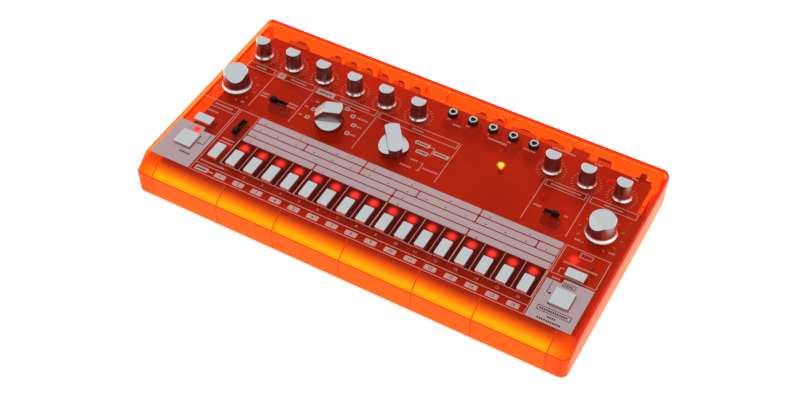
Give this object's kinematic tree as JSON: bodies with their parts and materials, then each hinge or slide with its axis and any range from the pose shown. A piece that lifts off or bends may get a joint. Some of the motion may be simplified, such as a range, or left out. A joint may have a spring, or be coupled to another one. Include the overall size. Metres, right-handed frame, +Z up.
{
  "type": "desktop drum machine",
  "caption": "Desktop drum machine with a tilted panel of step buttons, knobs, selectors and jacks in a translucent two-shell case.",
  "frame": {"origin": "on the table, under the middle of the case", "axes": "+X to the player's right, +Y to the rear with the sockets, +Z up"},
  "size_m": [0.3076, 0.1651, 0.0562],
  "materials": {
    "tinted_case": "clear tinted, smooth",
    "circuit_board": "solder mask",
    "steel": "plated",
    "rubber": "matt",
    "dark_plastic": "moulded",
    "knob_plastic": "moulded, satin",
    "button_plastic": "moulded, satin",
    "light_red": "clear, lit",
    "light_yellow": "clear, lit",
    "connector_metal": "plated"
  },
  "bodies": {
    "case": {"top_case": "tinted_case", "bottom_case": "tinted_case", "case_screws": "steel", "rubber_feet": "rubber", "main_circuit_board": "circuit_board", "board_screws": "steel", "board_chips": "dark_plastic", "board_capacitors": "dark_plastic", "pot_bodies": "connector_metal", "rotary_switch_bodies": "connector_metal", "tact_switches": "dark_plastic", "slide_switch_bodies": "connector_metal", "red_lights": "light_red", "power_light": "light_yellow", "top_jacks": "dark_plastic", "top_jack_nuts": "dark_plastic", "rear_mini_jacks": "dark_plastic", "output_jack": "dark_plastic", "output_jack_nut": "connector_metal", "din_sockets": "dark_plastic", "usb_socket": "connector_metal", "power_inlet": "dark_plastic"},
    "accent_knob": {"accent_knob": "knob_plastic"},
    "bass_drum_knob": {"bass_drum_knob": "knob_plastic"},
    "snare_drum_knob": {"snare_drum_knob": "knob_plastic"},
    "tom_knob": {"tom_knob": "knob_plastic"},
    "cymbal_knob": {"cymbal_knob": "knob_plastic"},
    "hi_hat_knob": {"hi_hat_knob": "knob_plastic"},
    "distortion_drive_knob": {"distortion_drive_knob": "knob_plastic"},
    "distortion_tone_knob": {"distortion_tone_knob": "knob_plastic"},
    "distortion_level_knob": {"distortion_level_knob": "knob_plastic"},
    "tempo_knob": {"tempo_knob": "knob_plastic"},
    "volume_knob": {"volume_knob": "knob_plastic"},
    "instrument_selector_knob": {"instrument_selector_knob": "knob_plastic"},
    "mode_selector_knob": {"mode_selector_knob": "knob_plastic"},
    "step_button_01": {"step_button_01": "button_plastic"},
    "step_button_02": {"step_button_02": "button_plastic"},
    "step_button_03": {"step_button_03": "button_plastic"},
    "step_button_04": {"step_button_04": "button_plastic"},
    "step_button_05": {"step_button_05": "button_plastic"},
    "step_button_06": {"step_button_06": "button_plastic"},
    "step_button_07": {"step_button_07": "button_plastic"},
    "step_button_08": {"step_button_08": "button_plastic"},
    "step_button_09": {"step_button_09": "button_plastic"},
    "step_button_10": {"step_button_10": "button_plastic"},
    "step_button_11": {"step_button_11": "button_plastic"},
    "step_button_12": {"step_button_12": "button_plastic"},
    "step_button_13": {"step_button_13": "button_plastic"},
    "step_button_14": {"step_button_14": "button_plastic"},
    "step_button_15": {"step_button_15": "button_plastic"},
    "step_button_16": {"step_button_16": "button_plastic"},
    "function_button": {"function_button": "button_plastic"},
    "start_button": {"start_button": "button_plastic"},
    "write_button": {"write_button": "button_plastic"},
    "tap_button": {"tap_button": "button_plastic"},
    "group_button": {"group_button": "button_plastic"},
    "select_switch_lever": {"select_switch_lever": "dark_plastic"},
    "distortion_switch_lever": {"distortion_switch_lever": "dark_plastic"},
    "mode_switch_lever": {"mode_switch_lever": "dark_plastic"},
    "power_switch_lever": {"power_switch_lever": "dark_plastic"}
  },
  "joints": [
    {"name": "accent_turn", "type": "hinge", "parent": "case", "child": "accent_knob", "pos_m": [-0.1338, 0.0417, 0.04082], "axis": [0, -0.1045, 0.9945], "range_deg": [-150, 150]},
    {"name": "bass_drum_turn", "type": "hinge", "parent": "case", "child": "bass_drum_knob", "pos_m": [-0.10947, 0.0417, 0.04082], "axis": [0, -0.1045, 0.9945], "range_deg": [-150, 150]},
    {"name": "snare_drum_turn", "type": "hinge", "parent": "case", "child": "snare_drum_knob", "pos_m": [-0.08514, 0.0417, 0.04082], "axis": [0, -0.1045, 0.9945], "range_deg": [-150, 150]},
    {"name": "tom_turn", "type": "hinge", "parent": "case", "child": "tom_knob", "pos_m": [-0.06082, 0.0417, 0.04082], "axis": [0, -0.1045, 0.9945], "range_deg": [-150, 150]},
    {"name": "cymbal_turn", "type": "hinge", "parent": "case", "child": "cymbal_knob", "pos_m": [-0.03649, 0.0417, 0.04082], "axis": [0, -0.1045, 0.9945], "range_deg": [-150, 150]},
    {"name": "hi_hat_turn", "type": "hinge", "parent": "case", "child": "hi_hat_knob", "pos_m": [-0.01216, 0.0417, 0.04082], "axis": [0, -0.1045, 0.9945], "range_deg": [-150, 150]},
    {"name": "distortion_drive_turn", "type": "hinge", "parent": "case", "child": "distortion_drive_knob", "pos_m": [0.08514, 0.0417, 0.04082], "axis": [0, -0.1045, 0.9945], "range_deg": [-150, 150]},
    {"name": "distortion_tone_turn", "type": "hinge", "parent": "case", "child": "distortion_tone_knob", "pos_m": [0.10947, 0.0417, 0.04082], "axis": [0, -0.1045, 0.9945], "range_deg": [-150, 150]},
    {"name": "distortion_level_turn", "type": "hinge", "parent": "case", "child": "distortion_level_knob", "pos_m": [0.1338, 0.0417, 0.04082], "axis": [0, -0.1045, 0.9945], "range_deg": [-150, 150]},
    {"name": "tempo_turn", "type": "hinge", "parent": "case", "child": "tempo_knob", "pos_m": [-0.1338, 0.00778, 0.03725], "axis": [0, -0.1045, 0.9945], "range_deg": [0, 300]},
    {"name": "volume_turn", "type": "hinge", "parent": "case", "child": "volume_knob", "pos_m": [0.1338, 0.00778, 0.03725], "axis": [0, -0.1045, 0.9945], "range_deg": [-300, 0]},
    {"name": "instrument_selector_turn", "type": "hinge", "parent": "case", "child": "instrument_selector_knob", "pos_m": [-0.06082, 0.00778, 0.03725], "axis": [0, -0.1045, 0.9945], "range_deg": [-260, 40]},
    {"name": "mode_selector_turn", "type": "hinge", "parent": "case", "child": "mode_selector_knob", "pos_m": [-0.01216, 0.00778, 0.03725], "axis": [0, -0.1045, 0.9945], "range_deg": [-7, 233]},
    {"name": "step_press_01", "type": "slide", "parent": "case", "child": "step_button_01", "axis": [0, 0.1045, -0.9945], "range_m": [0, 0.0005], "stiffness_N_per_m": 2000, "springref_m": -0.0003},
    {"name": "step_press_02", "type": "slide", "parent": "case", "child": "step_button_02", "axis": [0, 0.1045, -0.9945], "range_m": [0, 0.0005], "stiffness_N_per_m": 2000, "springref_m": -0.0003},
    {"name": "step_press_03", "type": "slide", "parent": "case", "child": "step_button_03", "axis": [0, 0.1045, -0.9945], "range_m": [0, 0.0005], "stiffness_N_per_m": 2000, "springref_m": -0.0003},
    {"name": "step_press_04", "type": "slide", "parent": "case", "child": "step_button_04", "axis": [0, 0.1045, -0.9945], "range_m": [0, 0.0005], "stiffness_N_per_m": 2000, "springref_m": -0.0003},
    {"name": "step_press_05", "type": "slide", "parent": "case", "child": "step_button_05", "axis": [0, 0.1045, -0.9945], "range_m": [0, 0.0005], "stiffness_N_per_m": 2000, "springref_m": -0.0003},
    {"name": "step_press_06", "type": "slide", "parent": "case", "child": "step_button_06", "axis": [0, 0.1045, -0.9945], "range_m": [0, 0.0005], "stiffness_N_per_m": 2000, "springref_m": -0.0003},
    {"name": "step_press_07", "type": "slide", "parent": "case", "child": "step_button_07", "axis": [0, 0.1045, -0.9945], "range_m": [0, 0.0005], "stiffness_N_per_m": 2000, "springref_m": -0.0003},
    {"name": "step_press_08", "type": "slide", "parent": "case", "child": "step_button_08", "axis": [0, 0.1045, -0.9945], "range_m": [0, 0.0005], "stiffness_N_per_m": 2000, "springref_m": -0.0003},
    {"name": "step_press_09", "type": "slide", "parent": "case", "child": "step_button_09", "axis": [0, 0.1045, -0.9945], "range_m": [0, 0.0005], "stiffness_N_per_m": 2000, "springref_m": -0.0003},
    {"name": "step_press_10", "type": "slide", "parent": "case", "child": "step_button_10", "axis": [0, 0.1045, -0.9945], "range_m": [0, 0.0005], "stiffness_N_per_m": 2000, "springref_m": -0.0003},
    {"name": "step_press_11", "type": "slide", "parent": "case", "child": "step_button_11", "axis": [0, 0.1045, -0.9945], "range_m": [0, 0.0005], "stiffness_N_per_m": 2000, "springref_m": -0.0003},
    {"name": "step_press_12", "type": "slide", "parent": "case", "child": "step_button_12", "axis": [0, 0.1045, -0.9945], "range_m": [0, 0.0005], "stiffness_N_per_m": 2000, "springref_m": -0.0003},
    {"name": "step_press_13", "type": "slide", "parent": "case", "child": "step_button_13", "axis": [0, 0.1045, -0.9945], "range_m": [0, 0.0005], "stiffness_N_per_m": 2000, "springref_m": -0.0003},
    {"name": "step_press_14", "type": "slide", "parent": "case", "child": "step_button_14", "axis": [0, 0.1045, -0.9945], "range_m": [0, 0.0005], "stiffness_N_per_m": 2000, "springref_m": -0.0003},
    {"name": "step_press_15", "type": "slide", "parent": "case", "child": "step_button_15", "axis": [0, 0.1045, -0.9945], "range_m": [0, 0.0005], "stiffness_N_per_m": 2000, "springref_m": -0.0003},
    {"name": "step_press_16", "type": "slide", "parent": "case", "child": "step_button_16", "axis": [0, 0.1045, -0.9945], "range_m": [0, 0.0005], "stiffness_N_per_m": 2000, "springref_m": -0.0003},
    {"name": "function_press", "type": "slide", "parent": "case", "child": "function_button", "axis": [0, 0.1045, -0.9945], "range_m": [0, 0.0005], "stiffness_N_per_m": 2000, "springref_m": -0.0003},
    {"name": "start_press", "type": "slide", "parent": "case", "child": "start_button", "axis": [0, 0.1045, -0.9945], "range_m": [0, 0.0005], "stiffness_N_per_m": 2000, "springref_m": -0.0003},
    {"name": "write_press", "type": "slide", "parent": "case", "child": "write_button", "axis": [0, 0.1045, -0.9945], "range_m": [0, 0.0005], "stiffness_N_per_m": 2000, "springref_m": -0.0003},
    {"name": "tap_press", "type": "slide", "parent": "case", "child": "tap_button", "axis": [0, 0.1045, -0.9945], "range_m": [0, 0.0005], "stiffness_N_per_m": 2000, "springref_m": -0.0003},
    {"name": "group_press", "type": "slide", "parent": "case", "child": "group_button", "axis": [0, 0.1045, -0.9945], "range_m": [0, 0.0005], "stiffness_N_per_m": 2000, "springref_m": -0.0003},
    {"name": "select_switch_slide", "type": "slide", "parent": "case", "child": "select_switch_lever", "axis": [1, 0, 0], "range_m": [0, 0.0074]},
    {"name": "distortion_switch_slide", "type": "slide", "parent": "case", "child": "distortion_switch_lever", "axis": [-1, 0, 0], "range_m": [0, 0.0044]},
    {"name": "mode_switch_slide", "type": "slide", "parent": "case", "child": "mode_switch_lever", "axis": [0, 0.9945, 0.1045], "range_m": [0, 0.0084]},
    {"name": "power_switch_slide", "type": "slide", "parent": "case", "child": "power_switch_lever", "axis": [1, 0, 0], "range_m": [0, 0.0032]}
  ]
}
